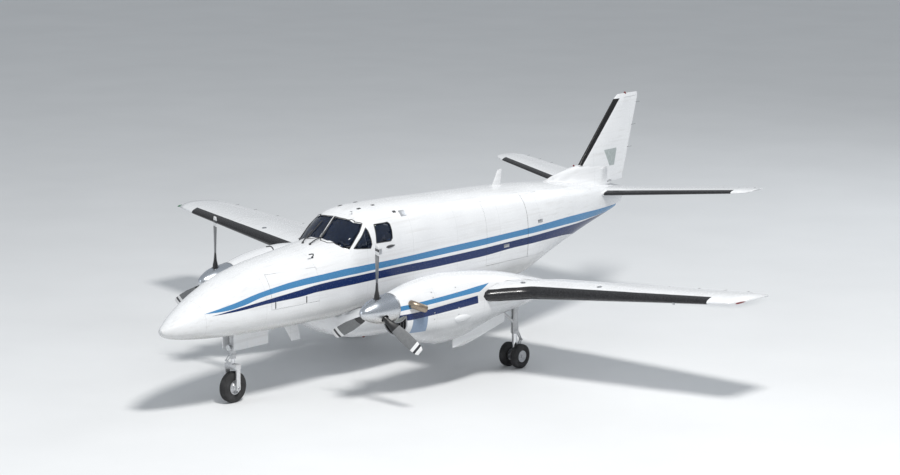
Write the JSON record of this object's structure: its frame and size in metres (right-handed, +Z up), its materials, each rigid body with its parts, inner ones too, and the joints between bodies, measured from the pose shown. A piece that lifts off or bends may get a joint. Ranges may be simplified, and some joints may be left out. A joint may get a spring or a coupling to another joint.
{
  "type": "twin-engine turboprop cargo airliner",
  "caption": "Low-wing turboprop cargo airliner with belly pod, retractable gear shown down, opening rear doors, hinged flaps and control surfaces, and turning propellers.",
  "frame": {"origin": "on the ground, under the middle of the bounding box", "axes": "+X toward the nose, +Y toward the left wing tip, +Z up"},
  "size_m": [13.58, 13.98, 4.37],
  "materials": {
    "white_paint": "gloss",
    "glass": "gloss",
    "spinner": "polished",
    "blade": "satin",
    "tyre": "matte",
    "hub": "satin",
    "engine": "satin",
    "exhaust": "heat-stained",
    "seat": "matte",
    "panel": "matte",
    "gear": "satin"
  },
  "bodies": {
    "airframe": {"fuselage_nose": "white_paint", "fuselage_cabin": "white_paint", "fuselage_tail": "white_paint", "windshield_left": "glass", "quarter_window_left": "glass", "side_window_left": "glass", "windshield_right": "glass", "quarter_window_right": "glass", "side_window_right": "glass", "wing_center": "white_paint", "wing_left": "white_paint", "wing_right": "white_paint", "nacelle_left": "white_paint", "engine_left": "engine", "exhaust_left": "exhaust", "nacelle_right": "white_paint", "engine_right": "engine", "exhaust_right": "exhaust", "tailplane": "white_paint", "fin": "white_paint", "cargo_pod": "white_paint", "instrument_panel": "panel", "seat_left": "seat", "seat_right": "seat", "nose_gear_leg": "gear", "nose_gear_door_left": "white_paint", "nose_gear_door_right": "white_paint", "main_gear_leg_left": "gear", "main_gear_door_left_outer": "white_paint", "main_gear_door_left_inner": "white_paint", "main_gear_leg_right": "gear", "main_gear_door_right_outer": "white_paint", "main_gear_door_right_inner": "white_paint"},
    "airstair_door": {"airstair_door": "white_paint"},
    "cargo_door": {"cargo_door": "white_paint"},
    "nose_baggage_door_left": {"nose_baggage_door_left": "white_paint"},
    "nose_baggage_door_right": {"nose_baggage_door_right": "white_paint"},
    "flap_inner_left": {"flap_inner_left": "white_paint"},
    "flap_outer_left": {"flap_outer_left": "white_paint"},
    "aileron_left": {"aileron_left": "white_paint"},
    "flap_inner_right": {"flap_inner_right": "white_paint"},
    "flap_outer_right": {"flap_outer_right": "white_paint"},
    "aileron_right": {"aileron_right": "white_paint"},
    "prop_left": {"propeller_left": "blade", "spinner_left": "spinner"},
    "prop_right": {"propeller_right": "blade", "spinner_right": "spinner"},
    "elevator_left": {"elevator_left": "white_paint"},
    "elevator_right": {"elevator_right": "white_paint"},
    "rudder": {"rudder": "white_paint"},
    "nose_fork": {"nose_gear_fork": "gear"},
    "nose_wheel": {"nose_hub": "hub", "nose_tyre": "tyre"},
    "main_wheels_left": {"main_hubs_left": "hub", "main_tyre_left_outer": "tyre", "main_tyre_left_inner": "tyre"},
    "main_wheels_right": {"main_hubs_right": "hub", "main_tyre_right_outer": "tyre", "main_tyre_right_inner": "tyre"}
  },
  "joints": [
    {"name": "prop_left_spin", "type": "hinge", "parent": "airframe", "child": "prop_left", "pos_m": [3.46, 2, 1.7], "axis": [1, 0, 0], "continuous": true},
    {"name": "prop_right_spin", "type": "hinge", "parent": "airframe", "child": "prop_right", "pos_m": [3.46, -2, 1.7], "axis": [1, 0, 0], "continuous": true},
    {"name": "main_wheels_left_spin", "type": "hinge", "parent": "airframe", "child": "main_wheels_left", "pos_m": [-0.43, 1.98, 0.2285], "axis": [0, 1, 0], "continuous": true},
    {"name": "main_wheels_right_spin", "type": "hinge", "parent": "airframe", "child": "main_wheels_right", "pos_m": [-0.43, -1.98, 0.2285], "axis": [0, 1, 0], "continuous": true},
    {"name": "nose_steering", "type": "hinge", "parent": "airframe", "child": "nose_fork", "pos_m": [5.04, 0, 0.28], "axis": [0, 0, 1], "range_deg": [-48, 48]},
    {"name": "nose_wheel_spin", "type": "hinge", "parent": "nose_fork", "child": "nose_wheel", "pos_m": [5.04, 0, 0.28], "axis": [0, 1, 0], "continuous": true},
    {"name": "aileron_left_hinge", "type": "hinge", "parent": "airframe", "child": "aileron_left", "pos_m": [-1.19738, 5.275, 1.80108], "axis": [0.0277, -0.9956, -0.089], "range_deg": [-25, 25]},
    {"name": "aileron_right_hinge", "type": "hinge", "parent": "airframe", "child": "aileron_right", "pos_m": [-1.19738, -5.275, 1.80108], "axis": [-0.0277, -0.9956, 0.089], "range_deg": [-25, 25]},
    {"name": "elevator_left_hinge", "type": "hinge", "parent": "airframe", "child": "elevator_left", "pos_m": [-6.22067, 1.68, 2.59451], "axis": [0.2001, -0.9756, -0.0899], "range_deg": [-20, 15]},
    {"name": "elevator_right_hinge", "type": "hinge", "parent": "airframe", "child": "elevator_right", "pos_m": [-6.22067, -1.68, 2.59451], "axis": [-0.2001, -0.9756, 0.0899], "range_deg": [-20, 15]},
    {"name": "rudder_hinge", "type": "hinge", "parent": "airframe", "child": "rudder", "pos_m": [-6.1, 0, 3.455], "axis": [-0.2219, 0, 0.9751], "range_deg": [-25, 25]},
    {"name": "flap_inner_left_hinge", "type": "hinge", "parent": "airframe", "child": "flap_inner_left", "pos_m": [-1.03545, 1.25, 1.39462], "axis": [-0.0011, -0.9955, -0.0943], "range_deg": [0, 40]},
    {"name": "flap_outer_left_hinge", "type": "hinge", "parent": "airframe", "child": "flap_outer_left", "pos_m": [-1.17982, 3.465, 1.62942], "axis": [0.0181, -0.9945, -0.1032], "range_deg": [0, 40]},
    {"name": "flap_inner_right_hinge", "type": "hinge", "parent": "airframe", "child": "flap_inner_right", "pos_m": [-1.03545, -1.25, 1.39462], "axis": [0.0011, -0.9955, 0.0943], "range_deg": [0, 40]},
    {"name": "flap_outer_right_hinge", "type": "hinge", "parent": "airframe", "child": "flap_outer_right", "pos_m": [-1.17982, -3.465, 1.62942], "axis": [-0.0181, -0.9945, 0.1032], "range_deg": [0, 40]},
    {"name": "airstair_door_hinge", "type": "hinge", "parent": "airframe", "child": "airstair_door", "pos_m": [-2.60008, 0.70265, 1.66], "axis": [-0.9919, -0.1272, 0], "range_deg": [0, 128]},
    {"name": "cargo_door_hinge", "type": "hinge", "parent": "airframe", "child": "cargo_door", "pos_m": [-1.6995, 0.5054, 2.874], "axis": [0.9981, 0.0622, 0], "range_deg": [0, 100]},
    {"name": "nose_baggage_door_left_hinge", "type": "hinge", "parent": "airframe", "child": "nose_baggage_door_left", "pos_m": [4.12, 0.54154, 2.304], "axis": [0.9882, -0.1529, 0], "range_deg": [0, 90]},
    {"name": "nose_baggage_door_right_hinge", "type": "hinge", "parent": "airframe", "child": "nose_baggage_door_right", "pos_m": [4.12, -0.54154, 2.304], "axis": [-0.9882, -0.1529, 0], "range_deg": [0, 90]}
  ],
  "couplings": [
    {"joint": "aileron_right_hinge", "follows": "aileron_left_hinge", "ratio": -1},
    {"joint": "elevator_right_hinge", "follows": "elevator_left_hinge", "ratio": 1},
    {"joint": "flap_outer_left_hinge", "follows": "flap_inner_left_hinge", "ratio": 1},
    {"joint": "flap_inner_right_hinge", "follows": "flap_inner_left_hinge", "ratio": 1},
    {"joint": "flap_outer_right_hinge", "follows": "flap_inner_left_hinge", "ratio": 1}
  ]
}
